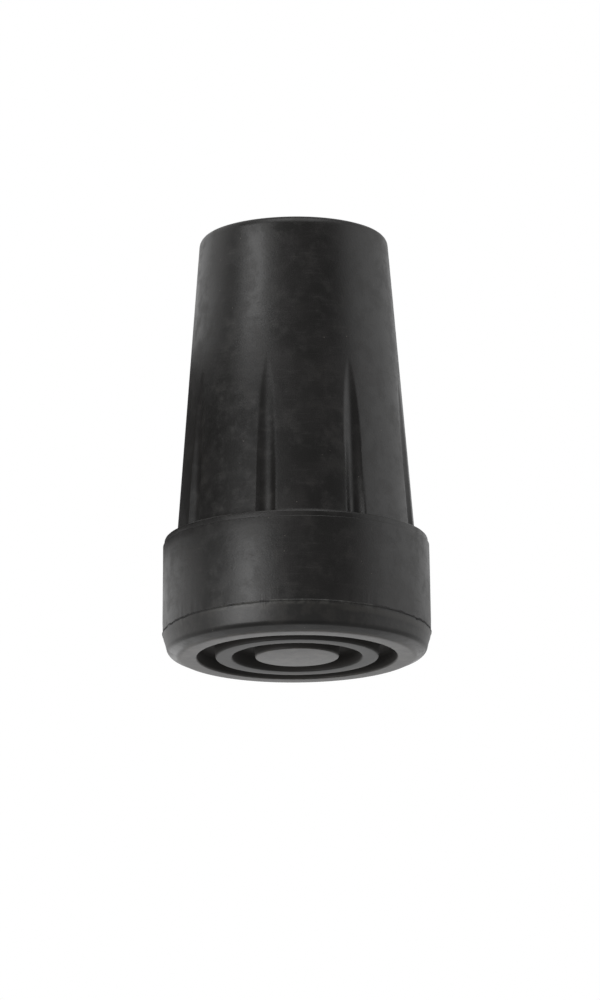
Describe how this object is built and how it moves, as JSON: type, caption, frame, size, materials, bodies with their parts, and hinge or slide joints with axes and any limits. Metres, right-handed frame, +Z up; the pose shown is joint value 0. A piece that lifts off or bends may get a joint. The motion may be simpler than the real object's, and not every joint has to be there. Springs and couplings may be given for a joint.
{
  "type": "rubber cane tip",
  "caption": "Moulded rubber foot for a walking stick: a tapered fluted sleeve with a blind socket, on a wide collar with a ring-grooved non-slip tread.",
  "frame": {"origin": "middle of the tread's face, on the socket's axis", "axes": "+Z runs up the socket's axis to its mouth, and +X points at one of the sleeve's flutes"},
  "size_m": [0.0382, 0.0382, 0.0612],
  "materials": {
    "black_rubber": "black moulded rubber, satin, slightly dusty"
  },
  "bodies": {
    "root": {"rubber_tip": "black_rubber"}
  },
  "joints": []
}
